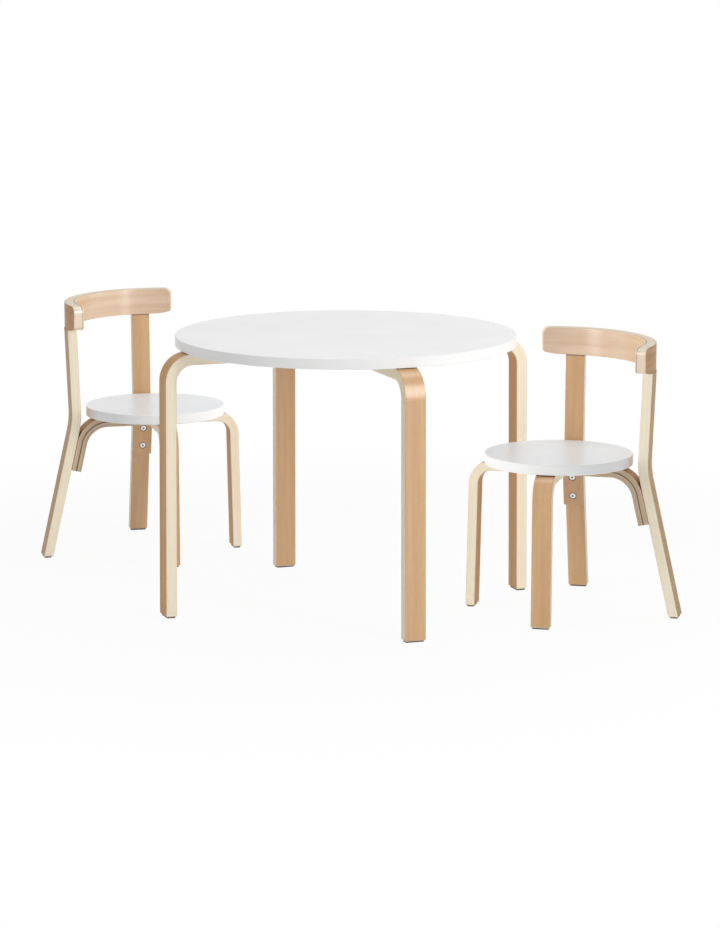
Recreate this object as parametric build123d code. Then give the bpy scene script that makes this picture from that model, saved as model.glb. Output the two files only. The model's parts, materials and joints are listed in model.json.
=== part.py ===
from build123d import *
import math
import os

# A low round table and two round-seated chairs for small children, in bentwood with painted boards.
# Millimetres and degrees, +Z up, the floor at z = 0, the origin on the floor under the middle of the
# whole set. Most sub-parts are bent strips. Each is drawn in its radial section, as (distance from the
# axis of its table or chair, height), given its width, and then turned and moved to its place.

# Driving dimensions: the table
TABLE_AT = (-5, -175)            # its axis, on the floor
TABLE_HEIGHT = 483
TOP_DIAMETER = 600
TABLE_LEGS = {"front": -69.5, "right": 20.5, "back": 110.5, "left": 200.5}
TABLE_LEG_WIDTH = 38
TABLE_LEG_THICKNESS = 20
TABLE_LEG_FOOT_RADIUS = 341      # axis to the leg's outer face, at the floor
TABLE_LEG_TOP_RADIUS = 338       # the same, at the board's underside
TABLE_LEG_BEND = 50
TABLE_ARM_END = 130
TABLE_SCREWS_AT = (160, 250)

# Driving dimensions: the chairs
CHAIRS = {"left_chair": ((-367, 283), -31), "right_chair": ((368, -238), 210.5)}  # axis, facing
SEAT_HEIGHT = 282
SEAT_DIAMETER = 260
SUPPORT_ANGLE = 46               # each leg and post, from the chair's fore-and-aft line
CHAIR_WOOD_WIDTH = 34
CHAIR_ARM_END = 45
CHAIR_SCREWS_AT = (62, 96)
FRONT_LEG_THICKNESS = 17
FRONT_LEG_FOOT_RADIUS = 163
FRONT_LEG_TOP_RADIUS = 157
FRONT_LEG_BEND = 42
POST_THICKNESS = 18
POST_FOOT_RADIUS = 202           # axis to the post's inner face, at the floor
POST_KINK_RADIUS = 144
POST_KINK_HEIGHT = 257
POST_TOP_RADIUS = 151
POST_BEND = 150
BRACKET_THICKNESS = 19
BRACKET_BEND = 60
BRACKET_FOOT_HEIGHT = 165.5
BOLT_HEIGHTS = (182.5, 217.5)    # where each bolt crosses the post's inner face
BACKREST_BOTTOM = 433
BACKREST_HEIGHT = 48
BACKREST_RADIUS = 186            # outer face
BACKREST_THICKNESS = 21
BACKREST_CENTRE = 22             # the arc's centre, ahead of the chair's axis
BACKREST_HALF_ANGLE = 60.5
BACKREST_TOP_ROUND = 12          # the corners of its ends
BACKREST_BOTTOM_ROUND = 5
BACKREST_SWEEP_RADIUS = 100      # its lower edge curves up to each end on this radius
BACKREST_SWEEP_LENGTH = 32
BACKREST_INNER_PLY = 3

# Driving dimensions: shared
BOARD_THICKNESS = 18             # table top and seats
BOARD_EDGE_ROUND = 1.2
WOOD_EDGE_ROUND = 1.5
FOOT_CHAMFER = 2.5
GLIDE_THICKNESS = 2
GLUE_LINE = 0.8                  # width and depth of the groove where two laminations meet
SCREW_DIAMETER = 4
SCREW_HEAD_DIAMETER = 8
SCREW_HEAD_HEIGHT = 2.4
SCREW_IN_BOARD = 12
SCREW_TIP = 3
BOLT_DIAMETER = 6
BOLT_HEAD_DIAMETER = 11
BOLT_HEAD_HEIGHT = 3.3
BOLT_LENGTH = 26                 # under the head
BOLT_SOCKET = 4.2                # across the hexagon's corners
BOLT_SOCKET_DEPTH = 2
BOLT_RECESS_DIAMETER = 13
INSERT_DIAMETER = 9
INSERT_LENGTH = 13
DOWEL_DIAMETER = 6
DOWEL_LENGTH = 30
DOWEL_SPACING = 18
CLEARANCE = 0.1                  # all round each fastener in its hole
LONG_EDGE = 30                   # a strip's lengthwise edges are longer than this, its others shorter
CUT_PAST = 5                     # how far a cutting shape runs past what it cuts
LEVEL = 0.5                      # a direction that climbs less than this counts as level

UPWARDS = (Align.CENTER, Align.CENTER, Align.MIN)
DOWNWARDS = (Align.CENTER, Align.CENTER, Align.MAX)

FRONT_ANGLES = {"left": SUPPORT_ANGLE, "right": -SUPPORT_ANGLE}
REAR_ANGLES = {"left": 180 - SUPPORT_ANGLE, "right": 180 + SUPPORT_ANGLE}
POST_SLOPE = (POST_FOOT_RADIUS - POST_KINK_RADIUS) / POST_KINK_HEIGHT


def set_off(line, distance, level_start=False, level_end=False):
    """Moves an open line to its left, keeping mitred corners; a level end slides horizontally."""
    points = [Vector(*point) for point in line]
    normals = [Vector(-(b - a).Y, (b - a).X).normalized() for a, b in zip(points, points[1:])]
    moved = []
    for index, point in enumerate(points):
        before = normals[max(index - 1, 0)]
        after = normals[min(index, len(normals) - 1)]
        shift = (before + after) / (1 + before.dot(after))
        if (index == 0 and level_start) or (index == len(points) - 1 and level_end):
            shift = Vector(1 / before.X if index else 1 / after.X, 0)
        moved.append(point + shift * distance)
    return [(point.X, point.Y) for point in moved]


def strip(line, thickness, width, bend, **ends):
    """A bent strip with the line on one face and its thickness to the line's left.

    The bend is the (face radius, back radius) at the line's one corner.
    """
    back = set_off(line, thickness, **ends)
    outline = make_face(Polyline(*line, *reversed(back), close=True))
    for corner, radius in zip((line[1], back[1]), bend):
        outline = fillet(outline.vertices().sort_by_distance(Vector(*corner))[0], radius)
    return extrude(Plane.XZ * outline, width / 2, both=True)


def soften(piece, foot_height=None):
    """Rounds a strip's long edges, and chamfers its foot if it stands on the floor."""
    if foot_height is not None:
        piece = chamfer(piece.faces().sort_by(Axis.Z)[0].edges(), FOOT_CHAMFER)
    sides = piece.faces().filter_by(Axis.Y).edges()
    return fillet([edge for edge in sides if edge.length > LONG_EDGE], WOOD_EDGE_ROUND)


def turned(profile):
    """A turned piece: (radius, height) points revolved about the z axis."""
    return revolve(Plane.XZ * make_face(Polyline(*profile, close=True)), Axis.Z)


def wood_screw(arm_thickness, gap=0):
    """A countersunk screw driven upwards, its head's face at z = 0."""
    head, shank = SCREW_HEAD_DIAMETER / 2 + gap, SCREW_DIAMETER / 2 + gap
    length = arm_thickness + SCREW_IN_BOARD + gap
    side = [(head, 0), (shank, SCREW_HEAD_HEIGHT), (shank, length - SCREW_TIP)]
    return turned([(0, 0), *side, (0, length)])


def bent_leg(foot_radius, top_radius, height, arm_end, thickness, width, bend):
    """An L: from the floor up to a board's underside, then inwards beneath the board."""
    foot = foot_radius + (top_radius - foot_radius) * GLIDE_THICKNESS / height
    line = [(foot, GLIDE_THICKNESS), (top_radius, height), (arm_end, height)]
    leg = strip(line, thickness, width, (bend, bend - thickness), level_start=True)
    return soften(leg, GLIDE_THICKNESS)


def glide(outer_radius, thickness, width):
    """A thin pad under a foot, inside its chamfer."""
    inset = FOOT_CHAMFER + 0.5
    pad = Rectangle(thickness - 2 * inset, width - 2 * inset)
    return Pos(outer_radius - thickness / 2, 0, 0) * extrude(pad, GLIDE_THICKNESS)


def board(diameter, height):
    """A round painted board, its top surface at the given height."""
    disc = Pos(0, 0, height - BOARD_THICKNESS / 2) * Cylinder(diameter / 2, BOARD_THICKNESS)
    return fillet(disc.edges().filter_by(GeomType.CIRCLE), BOARD_EDGE_ROUND)


def spread(shape, angles):
    """Copies of a sub-part, turned about the z axis."""
    return [Rot(0, 0, angle) * shape for angle in angles]


def arm_screws(arm_thickness, board_underside, positions, gap=0):
    """The screws of one arm, in the radial section."""
    bottom = board_underside - arm_thickness
    return [Pos(x, 0, bottom) * wood_screw(arm_thickness, gap) for x in positions]


def rear_post():
    """A post that carries the backrest, kinks outwards below the seat and runs down to the floor."""
    foot = POST_FOOT_RADIUS - POST_SLOPE * GLIDE_THICKNESS
    kink = (POST_KINK_RADIUS, POST_KINK_HEIGHT)
    line = [(POST_TOP_RADIUS, BACKREST_BOTTOM), kink, (foot, GLIDE_THICKNESS)]
    bend = (POST_BEND + POST_THICKNESS, POST_BEND)
    post = strip(line, POST_THICKNESS, CHAIR_WOOD_WIDTH, bend, level_start=True, level_end=True)
    return soften(post, GLIDE_THICKNESS)


def rear_bracket(board_underside):
    """A short L, of two laminations, under the seat and down the inner face of a post."""
    foot = (POST_FOOT_RADIUS - POST_SLOPE * BRACKET_FOOT_HEIGHT, BRACKET_FOOT_HEIGHT)
    corner = (POST_FOOT_RADIUS - POST_SLOPE * board_underside, board_underside)
    line = [foot, corner, (CHAIR_ARM_END, board_underside)]
    bend = (BRACKET_BEND, BRACKET_BEND - BRACKET_THICKNESS)
    bracket = soften(strip(line, BRACKET_THICKNESS, CHAIR_WOOD_WIDTH, bend))
    depth = (BRACKET_THICKNESS - GLUE_LINE) / 2
    seam_line = set_off(line, depth)
    seam_bend = (BRACKET_BEND - depth, BRACKET_BEND - depth - GLUE_LINE)
    seam = strip(seam_line, GLUE_LINE, CHAIR_WOOD_WIDTH, seam_bend)
    core = strip(seam_line, GLUE_LINE, CHAIR_WOOD_WIDTH - 2 * GLUE_LINE, seam_bend)
    return bracket - (seam - core)


def bolt_planes():
    """Where each bolt crosses from bracket to post; z runs outwards, square to the post's face."""
    outwards = Vector(1, 0, POST_SLOPE)
    return [Plane((POST_FOOT_RADIUS - POST_SLOPE * z, 0, z), x_dir=(0, 1, 0), z_dir=outwards)
            for z in BOLT_HEIGHTS]


def bolt():
    """A button-head bolt with a hexagon socket, its head let into the bracket; z = 0 at the post."""
    shank = Cylinder(BOLT_DIAMETER / 2, BOLT_LENGTH, align=UPWARDS)
    head = Cylinder(BOLT_HEAD_DIAMETER / 2, BOLT_HEAD_HEIGHT, align=DOWNWARDS)
    rim = head.edges().filter_by(GeomType.CIRCLE).sort_by(Axis.Z)[0]
    head = fillet(rim, BOLT_HEAD_HEIGHT / 3)
    socket = extrude(RegularPolygon(BOLT_SOCKET / 2, 6), BOLT_SOCKET_DEPTH)
    head -= Pos(0, 0, -BOLT_HEAD_HEIGHT) * socket
    return Pos(0, 0, BOLT_HEAD_HEIGHT - BRACKET_THICKNESS) * (shank + head)


def bolt_hole():
    """The hole that a bolt needs in the bracket, with the recess for its head."""
    deep = Cylinder(BOLT_DIAMETER / 2 + CLEARANCE, BRACKET_THICKNESS + CUT_PAST, align=DOWNWARDS)
    recess = Cylinder(BOLT_RECESS_DIAMETER / 2, BOLT_HEAD_HEIGHT + CUT_PAST, align=DOWNWARDS)
    return Pos(0, 0, CUT_PAST) * deep + Pos(0, 0, BOLT_HEAD_HEIGHT - BRACKET_THICKNESS) * recess


def insert(radius, bore):
    """A threaded insert sunk in the post from its inner face."""
    body = Cylinder(radius, INSERT_LENGTH, align=UPWARDS)
    return body - Cylinder(bore, 2 * (INSERT_LENGTH + CUT_PAST)) if bore else body


def under_sweep(radius, inset):
    """What is cut from under the band's first end, so that its lower edge sweeps up to it."""
    sweep, run = BACKREST_SWEEP_RADIUS - inset, BACKREST_SWEEP_LENGTH - inset
    rise = sweep - math.sqrt(sweep ** 2 - run ** 2)
    curve = RadiusArc((run, 0), (0, rise), sweep)
    rest = Polyline((0, rise), (-CUT_PAST, rise), (-CUT_PAST, -CUT_PAST), (run, -CUT_PAST), (run, 0))
    angle = math.radians(180 - BACKREST_HALF_ANGLE) + inset / radius
    outwards = Vector(math.cos(angle), math.sin(angle), 0)
    face = Plane(outwards * radius, x_dir=Vector(-outwards.Y, outwards.X, 0), z_dir=outwards)
    return extrude(face * make_face(curve + rest), BACKREST_THICKNESS, both=True)


def end_corners(band):
    """The edges that cross the band's thickness at its two upright ends, lowest first."""
    ends = band.faces().filter_by(lambda face: face.is_planar and abs(face.normal_at().Z) < LEVEL)
    return ends.edges().filter_by(lambda edge: abs(edge.tangent_at(0.5).Z) < LEVEL).sort_by(Axis.Z)


def arc_band(inner_radius, outer_radius, inset=0):
    """A length of curved band with rounded ends, standing at the backrest's place."""
    half = math.radians(BACKREST_HALF_ANGLE) - inset / inner_radius
    start = 180 - math.degrees(half)
    arcs = [CenterArc((0, 0), radius, start, 2 * math.degrees(half))
            for radius in (inner_radius, outer_radius)]
    ends = [Line(arcs[0] @ end, arcs[1] @ end) for end in (0, 1)]
    band = extrude(make_face(arcs + ends), BACKREST_HEIGHT - 2 * inset)
    under = under_sweep(inner_radius, inset)
    band -= [under, under.mirror(Plane.XZ)]
    band = fillet(end_corners(band)[-2:], BACKREST_TOP_ROUND - inset)
    band = fillet(end_corners(band)[:2], BACKREST_BOTTOM_ROUND - inset)
    return Pos(BACKREST_CENTRE, 0, BACKREST_BOTTOM + inset) * band


def backrest():
    """The bent backrest: a thin inner lamination and a thick outer one, with the glue line between."""
    inner = BACKREST_RADIUS - BACKREST_THICKNESS
    band = arc_band(inner, BACKREST_RADIUS)
    faces = band.faces().filter_by(GeomType.CYLINDER).sort_by(SortBy.AREA)[-2:]
    band = fillet(faces.edges(), WOOD_EDGE_ROUND)
    seam_at = inner + BACKREST_INNER_PLY
    seam = arc_band(seam_at - GLUE_LINE / 2, seam_at + GLUE_LINE / 2)
    return band - (seam - arc_band(seam_at - GLUE_LINE, seam_at + GLUE_LINE, GLUE_LINE))


def dowels(gap=0):
    """The two dowels that join one post's top to the backrest, in the radial section."""
    pin = Cylinder(DOWEL_DIAMETER / 2 + gap, DOWEL_LENGTH + 2 * gap)
    radius = POST_TOP_RADIUS + POST_THICKNESS / 2
    return [Pos(radius, side * DOWEL_SPACING / 2, BACKREST_BOTTOM) * pin for side in (-1, 1)]


def table():
    """Every node of the table, about its own axis."""
    underside = TABLE_HEIGHT - BOARD_THICKNESS
    angles = TABLE_LEGS.values()
    leg = bent_leg(TABLE_LEG_FOOT_RADIUS, TABLE_LEG_TOP_RADIUS, underside, TABLE_ARM_END,
                   TABLE_LEG_THICKNESS, TABLE_LEG_WIDTH, TABLE_LEG_BEND)
    holes = arm_screws(TABLE_LEG_THICKNESS, underside, TABLE_SCREWS_AT, CLEARANCE)
    screws = arm_screws(TABLE_LEG_THICKNESS, underside, TABLE_SCREWS_AT)
    pad = glide(TABLE_LEG_FOOT_RADIUS, TABLE_LEG_THICKNESS, TABLE_LEG_WIDTH)
    top_holes = [copy for hole in holes for copy in spread(hole, angles)]
    nodes = {"table_top": board(TOP_DIAMETER, TABLE_HEIGHT) - top_holes}
    for name, angle in TABLE_LEGS.items():
        nodes[f"table_leg_{name}"] = Rot(0, 0, angle) * (leg - holes)
    nodes["table_leg_screws"] = Compound([copy for screw in screws for copy in spread(screw, angles)])
    nodes["table_glides"] = Compound(spread(pad, angles))
    return nodes


def chair():
    """Every node of one chair, about its own axis, facing +X."""
    underside = SEAT_HEIGHT - BOARD_THICKNESS
    leg = bent_leg(FRONT_LEG_FOOT_RADIUS, FRONT_LEG_TOP_RADIUS, underside, CHAIR_ARM_END,
                   FRONT_LEG_THICKNESS, CHAIR_WOOD_WIDTH, FRONT_LEG_BEND)
    front, rear = FRONT_ANGLES.values(), REAR_ANGLES.values()
    front_holes = arm_screws(FRONT_LEG_THICKNESS, underside, CHAIR_SCREWS_AT, CLEARANCE)
    rear_holes = arm_screws(BRACKET_THICKNESS, underside, CHAIR_SCREWS_AT, CLEARANCE)
    screws, seat_holes = [], []
    for thickness, angles in ((FRONT_LEG_THICKNESS, front), (BRACKET_THICKNESS, rear)):
        for screw in arm_screws(thickness, underside, CHAIR_SCREWS_AT):
            screws += spread(screw, angles)
        for hole in arm_screws(thickness, underside, CHAIR_SCREWS_AT, CLEARANCE):
            seat_holes += spread(hole, angles)
    planes = bolt_planes()
    post = rear_post() - [plane * insert(INSERT_DIAMETER / 2 + CLEARANCE, 0) for plane in planes]
    post -= dowels(CLEARANCE)
    bracket = rear_bracket(underside) - rear_holes - [plane * bolt_hole() for plane in planes]
    bolts = [plane * bolt() for plane in planes]
    inserts = [plane * insert(INSERT_DIAMETER / 2, BOLT_DIAMETER / 2 + CLEARANCE) for plane in planes]
    nodes = {"seat": board(SEAT_DIAMETER, SEAT_HEIGHT) - seat_holes}
    for side, angle in FRONT_ANGLES.items():
        nodes[f"front_leg_{side}"] = Rot(0, 0, angle) * (leg - front_holes)
    for side, angle in REAR_ANGLES.items():
        nodes[f"rear_post_{side}"] = Rot(0, 0, angle) * post
        nodes[f"rear_bracket_{side}"] = Rot(0, 0, angle) * bracket
    nodes["backrest"] = backrest() - [cut for hole in dowels(CLEARANCE) for cut in spread(hole, rear)]
    nodes["backrest_dowels"] = Compound([d for dowel in dowels() for d in spread(dowel, rear)])
    nodes["bracket_bolts"] = Compound([b for one in bolts for b in spread(one, rear)])
    nodes["post_inserts"] = Compound([i for one in inserts for i in spread(one, rear)])
    nodes["seat_screws"] = Compound(screws)
    pads = spread(glide(FRONT_LEG_FOOT_RADIUS, FRONT_LEG_THICKNESS, CHAIR_WOOD_WIDTH), front)
    pads += spread(glide(POST_FOOT_RADIUS + POST_THICKNESS, POST_THICKNESS, CHAIR_WOOD_WIDTH), rear)
    nodes["glides"] = Compound(pads)
    return nodes


def placed(nodes, at, turn):
    """Moves a whole table or chair to its place on the floor."""
    return {name: Pos(*at, 0) * Rot(0, 0, turn) * shape for name, shape in nodes.items()}


sub_parts = placed(table(), TABLE_AT, 0)
one_chair = chair()
for chair_name, (axis, facing) in CHAIRS.items():
    for node, solid in placed(one_chair, axis, facing).items():
        sub_parts[f"{chair_name}_{node}"] = solid

os.makedirs("parts", exist_ok=True)
for node, solid in sub_parts.items():
    export_step(solid, f"parts/{node}.step")
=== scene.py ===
import json
import math

import bpy
from mathutils import Matrix, Vector


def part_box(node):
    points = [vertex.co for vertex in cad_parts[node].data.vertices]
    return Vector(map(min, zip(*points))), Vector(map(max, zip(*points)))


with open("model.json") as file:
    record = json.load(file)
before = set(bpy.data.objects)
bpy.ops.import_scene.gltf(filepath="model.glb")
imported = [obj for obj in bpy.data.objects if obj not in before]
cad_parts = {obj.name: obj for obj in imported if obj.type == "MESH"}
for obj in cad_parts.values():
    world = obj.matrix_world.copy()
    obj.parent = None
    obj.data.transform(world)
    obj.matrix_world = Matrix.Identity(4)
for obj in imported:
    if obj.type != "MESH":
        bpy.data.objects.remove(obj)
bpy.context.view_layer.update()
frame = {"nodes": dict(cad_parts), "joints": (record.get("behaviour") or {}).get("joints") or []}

# Table top
# A round board of 18 mm fibreboard, its arrises eased, sanded and sprayed all over with a white
# satin paint. It lies on the arms of the four bent legs, screwed to them from below.

BOARD_EDGE_ROUND = 0.0012
PAINT = (242, 242, 242)
PAINT_SHADED = (239, 239, 240)
# Paler paint along the arris is a painted highlight. The paint also thins there, which only dulls it.
PAINT_HIGHLIGHT_AT_ARRIS = (245, 245, 244)
ARRIS_HIGHLIGHT_SHOWS = 0.6
THIN_PAINT_DULLS = 0.06
PAINT_GLOSS = 0.25
CLOUDS, SHEEN_PATCHES, ORANGE_PEEL = 7, 60, 900  # cells to the metre
PEEL_RELIEF = (0.25, 0.00004)  # strength, and height in metres

# A finish varies over its surface by grades. Each takes a variation from low to high into a share,
# or a roughness, from first to last. Most of a speckle lies within the spread.
SPREAD = (0.3, 0.7)
SHEEN_GRADE = (0.25, 0.75, 0.30, 0.37)


def chart(colour):
    """A colour as read off a paint chart, 0 to 255, in the linear values that shaders take."""
    parts = [part / 255 for part in colour]
    return (*[part / 12.92 if part <= 0.04045 else ((part + 0.055) / 1.055) ** 2.4 for part in parts], 1)


def finish_named(name):
    """A new material with its node tree and its Principled shader."""
    material = bpy.data.materials.new(name)
    material.use_nodes = True
    tree = material.node_tree
    return material, tree, tree.nodes["Principled BSDF"]


def finished_in(material, *nodes):
    """Gives one finish to nodes that are shown as they stand."""
    for node in nodes:
        frame["nodes"][node].data.materials.clear()
        frame["nodes"][node].data.materials.append(material)


def put(tree, kind, settings=None, sockets=None):
    """Adds a shader node. A socket takes a number, a colour or another node's output."""
    made = tree.nodes.new("ShaderNode" + kind)
    for name, value in (settings or {}).items():
        setattr(made, name, value)
    for name, value in (sockets or {}).items():
        if isinstance(value, bpy.types.NodeSocket):
            tree.links.new(value, made.inputs[name])
        else:
            made.inputs[name].default_value = value
    return made


def worked(tree, operation, *values):
    """One step of arithmetic on numbers that vary over the surface."""
    return put(tree, "Math", {"operation": operation}, dict(enumerate(values))).outputs[0]


def graded(tree, value, low, high, first=0.0, last=1.0):
    """Takes low to high smoothly into first to last, and holds it beyond them."""
    sockets = {"Value": value, "From Min": low, "From Max": high, "To Min": first, "To Max": last}
    return put(tree, "MapRange", {"interpolation_type": "SMOOTHSTEP"}, sockets).outputs[0]


def tinted(tree, share, first, second):
    """One colour worked into another by a varying share."""
    return put(tree, "Mix", {"data_type": "RGBA"}, {0: share, 6: first, 7: second}).outputs[2]


def speckle(tree, place, cells, detail=2.0):
    """Soft random variation, with so many cells to the metre."""
    return put(tree, "TexNoise", None, {"Vector": place, "Scale": cells, "Detail": detail}).outputs[0]


def surfaced(tree, shader, colour, roughness, relief=None, strength=0.0, height=0.0):
    """Gives a shader its colour and roughness, and its bumps where there is a relief."""
    tree.links.new(colour, shader.inputs["Base Color"])
    tree.links.new(roughness, shader.inputs["Roughness"])
    if relief is not None:
        bump = put(tree, "Bump", None, {"Strength": strength, "Distance": height, "Height": relief})
        tree.links.new(bump.outputs[0], shader.inputs["Normal"])


def painted_board(node, paint=PAINT, shaded=PAINT_SHADED):
    """Paints one round board: faint orange peel, uneven sheen, paint that thins and dulls at the arris, and
    a painted highlight there.
    """
    low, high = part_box(node)
    material, tree, shader = finish_named("satin_paint_" + node)
    centred = {"Vector": put(tree, "TexCoord").outputs["Object"], "Location": (low + high) / 2}
    place = put(tree, "Mapping", {"vector_type": "TEXTURE"}, centred).outputs[0]
    parts = put(tree, "SeparateXYZ", None, {0: place}).outputs
    reach = worked(tree, "SQRT", worked(tree, "ADD", worked(tree, "POWER", parts[0], 2),
                                        worked(tree, "POWER", parts[1], 2)))
    radius = (high.x - low.x) / 2
    at_arris = graded(tree, reach, radius - 3 * BOARD_EDGE_ROUND, radius - 0.5 * BOARD_EDGE_ROUND)
    # A painted highlight: the paint is made paler along the arris.
    arris_highlight = worked(tree, "MULTIPLY", at_arris, ARRIS_HIGHLIGHT_SHOWS)
    clouds = graded(tree, speckle(tree, place, CLOUDS, 3), *SPREAD)
    colour = tinted(tree, clouds, chart(paint), chart(shaded))
    colour = tinted(tree, arris_highlight, colour, chart(PAINT_HIGHLIGHT_AT_ARRIS))
    sheen = graded(tree, speckle(tree, place, SHEEN_PATCHES), *SHEEN_GRADE)
    sheen = worked(tree, "ADD", sheen, worked(tree, "MULTIPLY", at_arris, THIN_PAINT_DULLS))
    surfaced(tree, shader, colour, sheen, speckle(tree, place, ORANGE_PEEL, 1), *PEEL_RELIEF)
    shader.inputs["Specular IOR Level"].default_value = PAINT_GLOSS
    finished_in(material, node)


painted_board("table_top")

# Table legs
# Four strips of birch veneers, glued and bent in a mould to an inverted L and lacquered. The broad
# faces show the warm face veneer, and the sawn edges show all the plies. They taper nowhere.

TABLE_LEG_THICKNESS = 0.020
TABLE_LEG_TOP_RADIUS = 0.338
TABLE_LEG_LEAN = math.atan(3 / 465)
TABLE_LEG_BEND = 0.050
PLY = 0.00143

VENEER = ((211, 170, 119), (199, 154, 102))
ROSY = (255, 245, 250)
FLECK = (160, 117, 80)
PLY_EDGES = ((249, 239, 214), (239, 226, 198))
GLUE = (203, 180, 148)
# Painted shadow: the dark line under a joint where one strip butts against another, and in the brackets'
# groove.
JOINT_SHADOW = (112, 80, 50)
END_GRAIN = (221, 193, 162)
# Painted shade: the colour that the wood takes in crevices and where parts meet.
CREVICE_SHADE = (150, 128, 106)

BANDS, FIGURE, FIBRES, FLECKS = 85, 80, 700, 1150  # cells to the metre across the grain
LONG_DRAW, FIGURE_DRAW, FLECK_DRAW = 0.045, 0.25, 0.22  # as a share of those, cells along it
FIGURE_SLANT = 0.6
SPOT_OF_SEED = (0.37, 0.61, 0.23)
BANDS_GRADE = (0.25, 0.75)
FIGURE_GRADE = (0.44, 0.62, 0.0, 0.6)
FIBRES_GRADE = (0.35, 0.75, 0.0, 0.35)
FLECKS_GRADE = (0.66, 0.74, 0.0, 0.4)
EDGE_FIBRES_GRADE = (0.4, 0.8, 0.0, 0.6)
GRAIN_RELIEF = (0.3, 0.00006)

GLUE_LINE = (0.4, 0.5)  # from the middle of a ply, as shares of it
GLUE_SHOWS = 0.4
GLUE_SINKS = -0.5
SEAM_FADES = 1.6
FACE_PLY = (0.0012, 0.0006)  # metres from the face, as the edge takes on its colour
BUTT_SHADOW = (0.0030, 0.0018)  # metres below the joint
LINES_SHOW = 0.75
ENDS_GRADE = (0.8, 0.97, 0.0, 0.75)
FACES_GRADE = (0.72, 0.92)
CREVICE_SHADE_REACH = 0.006
CREVICE_SHADE_GRADE = (0.3, 0.62, 1.0, 0.0)

WOOD_GRADE = (0.3, 0.7, 0.40, 0.50)
WOOD_GLOSS = 0.04
LACQUER_GRADE = (0.42, 0.66, 1.0, 0.1)
LACQUER_IOR = 1.85
LACQUER_BLUR = 0.32


def unbent(tree, origin, outward, upward, first, last, face_radius, thickness):
    """Straightens a bent strip: gives (depth, across, along) in metres, and the surface's direction.

    The bend's centre is the origin, its first run faces outward and goes upward, and it turns from
    the first angle to the last. Depth is measured from the face at face_radius.
    """
    axes = Matrix((outward, upward.cross(outward), upward)).transposed().to_euler()
    source = put(tree, "TexCoord").outputs
    held = {"vector_type": "TEXTURE"}
    place = put(tree, "Mapping", held, {0: source["Object"], 1: origin, 2: axes}).outputs[0]
    facing = put(tree, "Mapping", held, {0: source["Normal"], 2: axes}).outputs[0]
    parts = put(tree, "SeparateXYZ", None, {0: place}).outputs
    angle = worked(tree, "ARCTAN2", parts[2], parts[0])
    angle = put(tree, "Clamp", None, {0: angle, 1: first, 2: last}).outputs[0]
    turned = {"rotation_type": "Y_AXIS"}
    place = put(tree, "VectorRotate", turned, {"Vector": place, "Angle": angle}).outputs[0]
    facing = put(tree, "VectorRotate", turned, {"Vector": facing, "Angle": angle}).outputs[0]
    parts = put(tree, "SeparateXYZ", None, {0: place}).outputs
    depth = worked(tree, "SUBTRACT", face_radius, parts[0])
    along = worked(tree, "MULTIPLY_ADD", angle, face_radius - thickness / 2, parts[2])
    return depth, parts[1], along, facing


def drawn_out(tree, place, seed, draw, slant=0.0):
    """A straightened strip's place, drawn out along its grain and moved to a spot of its own."""
    spot = [seed * part for part in SPOT_OF_SEED]
    return put(tree, "Mapping", None, {0: place, 1: spot, 2: (slant, 0, 0), 3: (1, 1, draw)}).outputs[0]


def apart(tree, value, other):
    """How far one value is from another."""
    return worked(tree, "ABSOLUTE", worked(tree, "SUBTRACT", value, other))


def stained_or_shaded(tree, share, colour, stain):
    """A colour seen through a stain, or darkened by painted shade, by a varying share."""
    multiplied = {"data_type": "RGBA", "blend_type": "MULTIPLY"}
    return put(tree, "Mix", multiplied, {0: share, 6: colour, 7: chart(stain)}).outputs[2]


def veneered(tree, place, seed, fibres, light, deep):
    """The colour of a broad face: long bands, slanting rosy figure, fine fibres and small flecks."""
    bands = speckle(tree, drawn_out(tree, place, seed, LONG_DRAW), BANDS, 3)
    figure = speckle(tree, drawn_out(tree, place, seed, FIGURE_DRAW, FIGURE_SLANT), FIGURE, 2)
    flecks = speckle(tree, drawn_out(tree, place, seed, FLECK_DRAW), FLECKS, 1)
    colour = tinted(tree, graded(tree, bands, *BANDS_GRADE), light, deep)
    colour = stained_or_shaded(tree, graded(tree, figure, *FIGURE_GRADE), colour, ROSY)
    colour = tinted(tree, graded(tree, fibres, *FIBRES_GRADE), colour, deep)
    return tinted(tree, graded(tree, flecks, *FLECKS_GRADE), colour, chart(FLECK))


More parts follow.
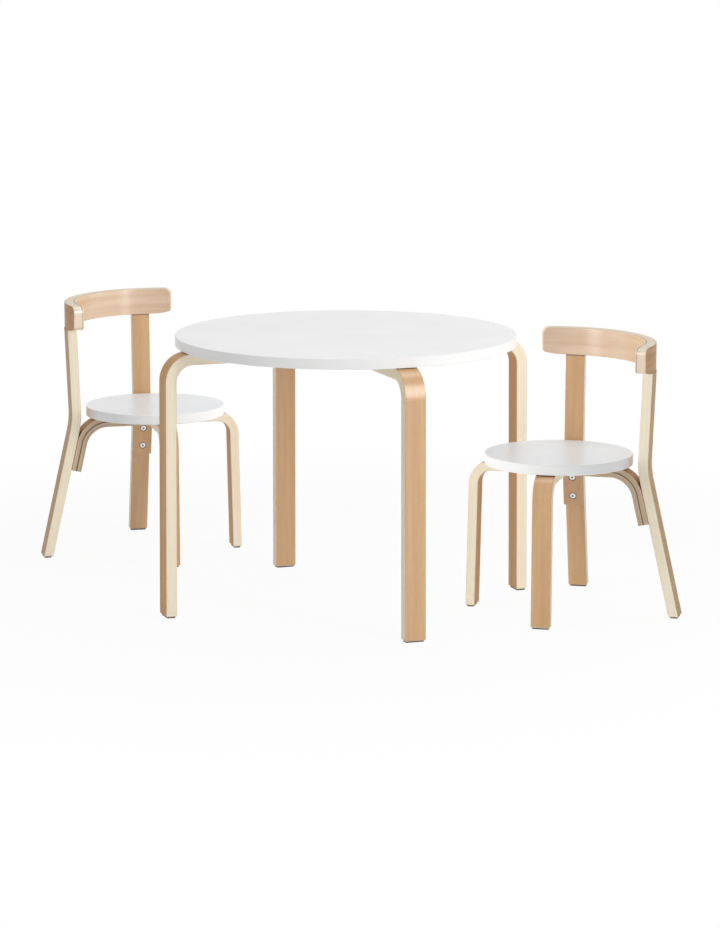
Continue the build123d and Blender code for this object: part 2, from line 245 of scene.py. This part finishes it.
def laminated(node, seed, veneers=VENEER, inner_veneers=VENEER, edges=PLY_EDGES, seams=(),
              butt_at=None, lacquer_blur=LACQUER_BLUR, **strip):
    """Lacquered bent lamination for one strip, with its grain and plies following the bend.

    The veneers are those of the face where depth is nothing, and the inner ones of the face behind.
    A seam is a depth, half a width and a colour. A strip that butts against another one has a narrow
    painted shadow line just under the height of the joint.
    """
    material, tree, shader = finish_named("laminated_birch_" + node)
    depth, across, along, facing = unbent(tree, **strip)
    place = put(tree, "CombineXYZ", None, {0: depth, 1: across, 2: along}).outputs[0]
    fibres = speckle(tree, drawn_out(tree, place, seed, LONG_DRAW), FIBRES, 4)

    half = strip["thickness"] / 2
    is_inner = worked(tree, "GREATER_THAN", depth, half)
    light, deep = [tinted(tree, is_inner, chart(outer), chart(inner))
                   for outer, inner in zip(veneers, inner_veneers)]
    veneer = veneered(tree, place, seed, fibres, light, deep)

    plies = worked(tree, "DIVIDE", depth, PLY)
    layer = worked(tree, "ADD", worked(tree, "FLOOR", plies), seed)
    tone = put(tree, "TexWhiteNoise", {"noise_dimensions": "1D"}, {"W": layer}).outputs[0]
    edge = tinted(tree, tone, chart(edges[0]), chart(edges[1]))
    edge = tinted(tree, graded(tree, fibres, *EDGE_FIBRES_GRADE), edge, chart(edges[1]))
    glue_line = graded(tree, apart(tree, worked(tree, "FRACT", plies), 0.5), *GLUE_LINE)
    edge = tinted(tree, worked(tree, "MULTIPLY", glue_line, GLUE_SHOWS), edge, chart(GLUE))
    # Seams are glue lines, except the brackets' one, which is the painted shade of their groove.
    for seam, half_width, colour in seams:
        in_seam = graded(tree, apart(tree, depth, seam), half_width, SEAM_FADES * half_width, 1.0, 0.0)
        edge = tinted(tree, in_seam, edge, chart(colour))
    near_face = [half - under for under in FACE_PLY]
    edge = tinted(tree, graded(tree, apart(tree, depth, half), *near_face, 0.0, LINES_SHOW), edge, veneer)

    facing = put(tree, "SeparateXYZ", None, {0: facing}).outputs
    is_end = worked(tree, "ABSOLUTE", facing[2])
    edge = tinted(tree, graded(tree, is_end, *ENDS_GRADE), edge, chart(END_GRAIN))
    is_face = worked(tree, "ABSOLUTE", facing[0])
    colour = tinted(tree, graded(tree, is_face, *FACES_GRADE), edge, veneer)
    if butt_at is not None:
        height = put(tree, "SeparateXYZ", None, {0: put(tree, "TexCoord").outputs["Object"]}).outputs[2]
        # Painted shadow: a dark band just under the joint, where the backrest meets the post.
        line = [butt_at - below for below in BUTT_SHADOW]
        colour = tinted(tree, graded(tree, height, *line, 0.0, LINES_SHOW), colour, chart(JOINT_SHADOW))
    # Painted shade: ambient occlusion darkens the wood in crevices and where it meets other parts.
    occlusion_for_shade = put(tree, "AmbientOcclusion", None, {"Distance": CREVICE_SHADE_REACH}).outputs["AO"]
    colour = stained_or_shaded(tree, graded(tree, occlusion_for_shade, *CREVICE_SHADE_GRADE), colour, CREVICE_SHADE)

    relief = worked(tree, "ADD", fibres, worked(tree, "MULTIPLY", glue_line, GLUE_SINKS))
    surfaced(tree, shader, colour, graded(tree, fibres, *WOOD_GRADE), relief, *GRAIN_RELIEF)
    aside = put(tree, "LayerWeight", None, {"Blend": 0.5}).outputs["Facing"]
    tree.links.new(graded(tree, aside, *LACQUER_GRADE), shader.inputs["Coat Weight"])
    shader.inputs["Coat IOR"].default_value = LACQUER_IOR
    shader.inputs["Coat Roughness"].default_value = lacquer_blur
    shader.inputs["Specular IOR Level"].default_value = WOOD_GLOSS
    finished_in(material, node)


def bearing_of(node, axis):
    """The level direction from an upright axis to the middle of a strip that points at it."""
    low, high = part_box(node)
    middle = (low + high) / 2 - axis
    return Vector((middle.x, middle.y, 0)).normalized()


def axis_of(board):
    """The upright axis of a round board, as its point on the floor."""
    low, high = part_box(board)
    return Vector(((low.x + high.x) / 2, (low.y + high.y) / 2, 0))


def leg_strip(node, axis, top_radius, top, lean, bend, thickness):
    """The straightening of an L-shaped strip that leans in by an angle and ends level under a board."""
    out, up = bearing_of(node, axis), Vector((0, 0, 1))
    centre_radius = top_radius + bend * math.tan(lean) - bend / math.cos(lean)
    return {
        "origin": axis + out * centre_radius + up * (top - bend),
        "outward": out * math.cos(lean) + up * math.sin(lean),
        "upward": up * math.cos(lean) - out * math.sin(lean),
        "first": 0.0, "last": math.pi / 2 - lean, "face_radius": bend, "thickness": thickness,
    }


table_axis = axis_of("table_top")
table_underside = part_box("table_top")[0].z
for number, side in enumerate(("front", "right", "back", "left")):
    node = "table_leg_" + side
    strip = leg_strip(node, table_axis, TABLE_LEG_TOP_RADIUS, table_underside, TABLE_LEG_LEAN,
                      TABLE_LEG_BEND, TABLE_LEG_THICKNESS)
    laminated(node, seed=number + 1, **strip)

# Leg screws
# Countersunk steel screws with a bright zinc finish, driven up through the arms into the board.
# Only their heads show, flush with the underside of the arms.

ZINC = (196, 198, 196)
ZINC_ROUGHNESS = (0.30, 0.42)
# Painted shade: the near-black that sockets and recesses take.
SOCKET_SHADE = (26, 24, 22)
SOCKET_SHADE_REACH = 0.0022
SOCKET_SHADE_GRADE = (0.45, 0.95)
TURNING_MARKS, WORN_PATCHES = 2600, 400  # cells to the metre
TURNING_RELIEF = (0.2, 0.00002)
WORN_GRADE = (0.4, 0.8)
WORN = 0.9


def steel(name, colour, roughness):
    """Bare or plated steel, with fine turning marks, slight unevenness in its polish, and painted shade in
    its sockets.
    """
    material, tree, shader = finish_named(name)
    place = put(tree, "TexCoord").outputs["Object"]
    marks = speckle(tree, place, TURNING_MARKS, 2)
    patches = graded(tree, speckle(tree, place, WORN_PATCHES), *WORN_GRADE)
    wear_and_socket_shade = tinted(tree, patches, chart(colour), chart([WORN * part for part in colour]))
    # Painted shade: local ambient occlusion darkens the sockets and recesses.
    occlusion_for_shade = put(tree, "AmbientOcclusion", {"only_local": True}, {"Distance": SOCKET_SHADE_REACH})
    wear_and_socket_shade = tinted(tree, graded(tree, occlusion_for_shade.outputs["AO"], *SOCKET_SHADE_GRADE), chart(SOCKET_SHADE), wear_and_socket_shade)
    surfaced(tree, shader, wear_and_socket_shade, graded(tree, marks, *SPREAD, *roughness), marks, *TURNING_RELIEF)
    shader.inputs["Metallic"].default_value = 1.0
    return material


zinc_plate = steel("zinc_plated_steel", ZINC, ZINC_ROUGHNESS)
finished_in(zinc_plate, "table_leg_screws")

# Table glides
# Thin pads of dark hard felt, a little smaller than the foot all round, glued under each foot so
# that the table slides without marking the floor.

FELT = (74, 70, 66)
FELT_LIGHT = (104, 99, 93)
FELT_FIBRES = 3200  # to the metre
FELT_COLOUR_GRADE = (0.35, 0.7)
FELT_GRADE = (0.3, 0.7, 0.85, 0.98)
FELT_RELIEF = (0.6, 0.0002)
FELT_FUZZ = 0.2


def felt():
    """Pressed felt: short crossing fibres and a soft, rough surface."""
    material, tree, shader = finish_named("pressed_felt")
    fibres = speckle(tree, put(tree, "TexCoord").outputs["Object"], FELT_FIBRES, 4)
    colour = tinted(tree, graded(tree, fibres, *FELT_COLOUR_GRADE), chart(FELT), chart(FELT_LIGHT))
    surfaced(tree, shader, colour, graded(tree, fibres, *FELT_GRADE), fibres, *FELT_RELIEF)
    shader.inputs["Sheen Weight"].default_value = FELT_FUZZ
    return material


glide_felt = felt()
finished_in(glide_felt, "table_glides")

# Chair seats
# Round boards of the same painted fibreboard as the table top, 260 mm across. Each lies on the
# arms of its chair's front legs and rear brackets, screwed to them from below.

# The seats take the table's paint made a touch cooler: a painted offset for the warm light that the wood
# around each seat throws on it.
SEAT_PAINT_COOLED_FOR_BOUNCE = (241, 244, 247)
SEAT_PAINT_SHADED_COOLED_FOR_BOUNCE = (238, 241, 245)

chairs = {}
for joint in frame["joints"]:
    chair = joint["child"]
    seat = chair + "_seat"
    painted_board(seat, SEAT_PAINT_COOLED_FOR_BOUNCE, SEAT_PAINT_SHADED_COOLED_FOR_BOUNCE)
    chairs[chair] = {"axis": axis_of(seat), "facing": Vector(joint["axis"]).normalized(),
                     "underside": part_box(seat)[0].z}

# Front legs
# Two lighter bent strips to a chair, made as the table's legs are, 34 mm wide and 17 mm thick.
# They splay a little, and their arms are screwed under the seat.

FRONT_LEG_THICKNESS = 0.017
FRONT_LEG_TOP_RADIUS = 0.157
FRONT_LEG_LEAN = math.atan(6 / 264)
FRONT_LEG_BEND = 0.042


def pairs(part, seed):
    """The left and right piece of one kind on each chair, with its axis, underside and own seed."""
    for chair, place in chairs.items():
        for side in ("left", "right"):
            yield f"{chair}_{part}_{side}", place["axis"], place["underside"], seed
            seed += 1


for node, axis, underside, seed in pairs("front_leg", seed=11):
    strip = leg_strip(node, axis, FRONT_LEG_TOP_RADIUS, underside, FRONT_LEG_LEAN,
                      FRONT_LEG_BEND, FRONT_LEG_THICKNESS)
    laminated(node, seed, **strip)

# Rear posts
# Strips of the same lamination, kinked outwards below the seat. Each runs from the floor to the
# underside of the backrest and is bolted to its bracket. Its back is a little greyer and darker, as
# painted shade, and a painted shadow line runs just under the backrest.

POST_THICKNESS = 0.018
POST_FOOT_RADIUS = 0.202
POST_SLOPE = 58 / 257
POST_KINK = (0.144, 0.257)
POST_UPPER_SLOPE = 7 / 176
POST_FACE_BEND = 0.168
# The back face is a little greyer and darker: painted shade.
POST_BACK_WITH_SHADE = ((199, 168, 126), (187, 152, 109))


def post_strip(node, axis):
    """The straightening of a kinked post, whose bend has its centre behind the post."""
    out, up = bearing_of(node, axis), Vector((0, 0, 1))
    lower, upper = math.atan(POST_SLOPE), math.atan(POST_UPPER_SLOPE)
    inward = -out * math.cos(lower) - up * math.sin(lower)
    inward_above = -out * math.cos(upper) + up * math.sin(upper)
    kink = axis + out * POST_KINK[0] + up * POST_KINK[1]
    back = (inward + inward_above) / (1 + inward.dot(inward_above))
    return {
        "origin": kink - back * POST_FACE_BEND,
        "outward": inward, "upward": up * math.cos(lower) - out * math.sin(lower),
        "first": 0.0, "last": lower + upper, "face_radius": POST_FACE_BEND, "thickness": POST_THICKNESS,
    }


for node, axis, underside, seed in pairs("rear_post", seed=21):
    laminated(node, seed, inner_veneers=POST_BACK_WITH_SHADE, butt_at=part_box(node)[1].z, **post_strip(node, axis))

# Rear brackets
# A short L of two laminations glued face to face, screwed under the seat and bolted to its post.
# The joint between the laminations is a small groove, whose shade is painted as a dark line along both sawn
# edges.

BRACKET_THICKNESS = 0.019
BRACKET_BEND = 0.060
BRACKET_EDGES = ((214, 190, 158), (184, 156, 122))
BRACKET_SEAM_SHADE = (BRACKET_THICKNESS / 2, 0.0009, JOINT_SHADOW)

for node, axis, underside, seed in pairs("rear_bracket", seed=31):
    strip = leg_strip(node, axis, POST_FOOT_RADIUS - POST_SLOPE * underside, underside,
                      math.atan(POST_SLOPE), BRACKET_BEND, BRACKET_THICKNESS)
    laminated(node, seed, edges=BRACKET_EDGES, seams=[BRACKET_SEAM_SHADE], **strip)

# Backrests
# A band bent to an arc with rounded ends: a thin pale inner lamination glued to a thicker outer one.
# Its inner face is painted paler, partly as a painted sheen, and its outer face darker as painted
# shade. It stands on the tops of both posts, held by two beech dowels in each.

BACKREST_CENTRE = 0.022
BACKREST_RADIUS = 0.186
BACKREST_HALF_ANGLE = math.radians(60.5)
BACKREST_THICKNESS = 0.021
BACKREST_INNER = 0.003
# The outer face is painted darker as shade, and the inner face paler, partly as a painted sheen.
BACKREST_OUTER_VENEER_WITH_SHADE = ((202, 160, 120), (188, 144, 104))
BACKREST_INNER_VENEER_WITH_SHEEN = ((228, 201, 172), (211, 180, 147))
BACKREST_EDGES = ((238, 226, 204), (224, 209, 184))
BACKREST_INNER_EDGE = (BACKREST_THICKNESS - BACKREST_INNER / 2, BACKREST_INNER / 2, (240, 224, 198))
BACKREST_SEAM = (BACKREST_THICKNESS - BACKREST_INNER, 0.0005, (150, 120, 88))
BACKREST_BLUR = 0.24
BEECH = (222, 196, 158)
BEECH_DEEP = (204, 164, 120)
BEECH_FIBRES, BEECH_DRAW = 900, 0.05
BEECH_GRADE = (0.3, 0.7, 0.5, 0.65)


def dowel_beech():
    """Turned beech with its grain upright."""
    material, tree, shader = finish_named("dowel_beech")
    upright = {0: put(tree, "TexCoord").outputs["Object"], 3: (1, 1, BEECH_DRAW)}
    fibres = speckle(tree, put(tree, "Mapping", None, upright).outputs[0], BEECH_FIBRES, 3)
    colour = tinted(tree, fibres, chart(BEECH), chart(BEECH_DEEP))
    surfaced(tree, shader, colour, graded(tree, fibres, *BEECH_GRADE))
    return material


for seed, (chair, place) in enumerate(chairs.items(), start=41):
    node = chair + "_backrest"
    low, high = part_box(node)
    centre = place["axis"] + place["facing"] * BACKREST_CENTRE
    laminated(node, seed, veneers=BACKREST_OUTER_VENEER_WITH_SHADE, inner_veneers=BACKREST_INNER_VENEER_WITH_SHEEN,
              edges=BACKREST_EDGES, seams=[BACKREST_INNER_EDGE, BACKREST_SEAM],
              lacquer_blur=BACKREST_BLUR, origin=Vector((centre.x, centre.y, (low.z + high.z) / 2)),
              outward=-place["facing"], upward=Vector((0, 0, 1)).cross(-place["facing"]),
              first=-BACKREST_HALF_ANGLE, last=BACKREST_HALF_ANGLE,
              face_radius=BACKREST_RADIUS, thickness=BACKREST_THICKNESS)

beech = dowel_beech()
finished_in(beech, *[chair + "_backrest_dowels" for chair in chairs])

# Bolts and inserts
# Button-head bolts with a hexagon socket, bright nickel-plated, let into the brackets, and the
# threaded steel inserts that they draw up in the posts.

NICKEL = (232, 234, 236)
NICKEL_ROUGHNESS = (0.08, 0.16)
YELLOW_ZINC = (188, 182, 160)
YELLOW_ZINC_ROUGHNESS = (0.32, 0.45)

nickel_plate = steel("bright_nickel", NICKEL, NICKEL_ROUGHNESS)
yellow_zinc = steel("yellow_zinc", YELLOW_ZINC, YELLOW_ZINC_ROUGHNESS)
finished_in(nickel_plate, *[chair + "_bracket_bolts" for chair in chairs])
finished_in(yellow_zinc, *[chair + "_post_inserts" for chair in chairs])

# Seat screws and chair glides
# The same zinc-plated screws and felt pads as the table's: two screws through each arm into the
# seat, and a pad glued under each foot.

finished_in(zinc_plate, *[chair + "_seat_screws" for chair in chairs])
finished_in(glide_felt, *[chair + "_glides" for chair in chairs])

# Floor
# A plain studio floor that runs out past everything in view. It turns pure white away from the set
# and keeps a faint soft shadow under the feet.

FLOOR_RADIUS = 9.0
FLOOR_BELOW = 0.0002
FLOOR_PAINT = (205, 205, 205)
FLOOR_ROUGHNESS = 0.9
FLOOR_GRADE = (0.7, 1.6, 0.92, 1.0)  # metres from the middle into a share of pure white
WHITE = (1, 1, 1, 1)

ring = [(FLOOR_RADIUS * math.cos(math.radians(bearing)), FLOOR_RADIUS * math.sin(math.radians(bearing)),
         -FLOOR_BELOW) for bearing in range(0, 360, 5)]
floor_mesh = bpy.data.meshes.new("studio_floor")
floor_mesh.from_pydata(ring, [], [list(range(len(ring)))])
floor = bpy.data.objects.new("studio_floor", floor_mesh)
bpy.context.scene.collection.objects.link(floor)


def seen_directly(tree):
    """1 where a ray comes straight from the camera, a mirror or a glass, and 0 for light."""
    path = put(tree, "LightPath").outputs
    either = worked(tree, "MAXIMUM", path["Is Camera Ray"], path["Is Glossy Ray"])
    return worked(tree, "MAXIMUM", either, path["Is Transmission Ray"])


floor_finish, tree, shader = finish_named("white_floor")
shader.inputs["Base Color"].default_value = chart(FLOOR_PAINT)
shader.inputs["Roughness"].default_value = FLOOR_ROUGHNESS
shader.inputs["Specular IOR Level"].default_value = 0.0
from_middle = put(tree, "VectorMath", {"operation": "LENGTH"}, {0: put(tree, "TexCoord").outputs["Object"]})
white = graded(tree, from_middle.outputs["Value"], *FLOOR_GRADE)
glow = put(tree, "Emission", None, {"Color": WHITE, "Strength": 1.0}).outputs[0]
shown = put(tree, "MixShader", None, {0: worked(tree, "MULTIPLY", white, seen_directly(tree)),
                                      1: shader.outputs[0], 2: glow})
tree.links.new(shown.outputs[0], tree.nodes["Material Output"].inputs["Surface"])
floor_mesh.materials.append(floor_finish)

# Light
# Even light from all round, stronger from behind the set. The table and each chair have a tall soft
# key lamp that lights and shades nothing else, and broad lamps at the sides and overhead fill in.

SKY_LEVEL = 0.43
SKY_SIDES = (((0, 1, 0), 0.8), ((0, -1, 0), 0.08))

# For each lamp: where it stands, what it is aimed at, its width and height, its power, what it lights.
LAMPS = {
    "key_of_table": ((2.12, -2.55, 1.8), (0, -0.2, 0.4), (0.6, 2.6), 43.5, ("table",)),
    "key_of_left_chair": ((2.38, -1.56, 1.15), (-0.3, 0.2, 0.4), (0.45, 2.0), 43, ("left_chair",)),
    "key_of_right_chair": ((-2.54, -1.83, 1.15), (0.3, -0.2, 0.4), (0.45, 2.0), 43, ("right_chair",)),
    "side_of_table": ((4.0, 0.1, 1.4), (0, 0, 0.4), (2.6, 2.4), 26, ("table", "left_chair")),
    "side_of_right_chair": ((-4.0, 0.1, 1.4), (0, 0, 0.4), (2.6, 2.4), 26, ("right_chair",)),
    "overhead": ((0.5, 0.3, 3.4), (0, 0, 0.4), (1.2, 1.2), 13, ("table", "left_chair", "right_chair")),
}

world = bpy.data.worlds.new("studio")
world.use_nodes = True
bpy.context.scene.world = world
tree = world.node_tree
lighting = tree.nodes["Background"]
lighting.inputs["Color"].default_value = WHITE
toward = put(tree, "TexCoord").outputs["Generated"]
level = SKY_LEVEL
for side, brightness in SKY_SIDES:
    share = put(tree, "VectorMath", {"operation": "DOT_PRODUCT"}, {0: toward, 1: side}).outputs["Value"]
    level = worked(tree, "MULTIPLY_ADD", worked(tree, "MAXIMUM", share, 0.0), brightness, level)
tree.links.new(level, lighting.inputs["Strength"])
backdrop = put(tree, "Background", None, {"Color": WHITE, "Strength": 1.0}).outputs[0]
shown = put(tree, "MixShader", None, {0: seen_directly(tree), 1: lighting.outputs[0], 2: backdrop})
tree.links.new(shown.outputs[0], tree.nodes["World Output"].inputs["Surface"])


def softbox(name, stands, aimed_at, size, power, lit):
    """A soft lamp for the floor and the nodes whose names begin with one of the given words.

    Nothing else takes its light or stands in it.
    """
    lamp = bpy.data.lights.new(name, "AREA")
    lamp.shape = "RECTANGLE"
    lamp.size, lamp.size_y = size
    lamp.energy = power
    holder = bpy.data.objects.new(name, lamp)
    holder.location = stands
    holder.rotation_euler = (Vector(aimed_at) - Vector(stands)).to_track_quat("-Z", "Y").to_euler()
    holder.visible_camera = False
    bpy.context.scene.collection.objects.link(holder)
    receivers = bpy.data.collections.new("lit_by_" + name)
    receivers.objects.link(floor)
    for node, piece in frame["nodes"].items():
        if node.startswith(lit):
            receivers.objects.link(piece)
    holder.light_linking.receiver_collection = receivers
    holder.light_linking.blocker_collection = receivers


for name, lamp in LAMPS.items():
    softbox(name, *lamp)

# Camera
# A long lens at shoulder height, well back from the set and looking slightly down, so that upright
# lines stay nearly parallel.

CAMERA_STANDS = (0.020, -6.6547, 1.4258)
CAMERA_DIP = 0.1795
CAMERA_LENS = 144.45

camera = bpy.data.cameras.new("camera")
camera.lens = CAMERA_LENS
camera.sensor_width = 36
camera.clip_end = 100
viewer = bpy.data.objects.new("camera", camera)
viewer.location = CAMERA_STANDS
viewer.rotation_euler = (math.pi / 2 - CAMERA_DIP, 0, 0)
bpy.context.scene.collection.objects.link(viewer)
bpy.context.scene.camera = viewer
bpy.context.scene.view_settings.view_transform = "Standard"
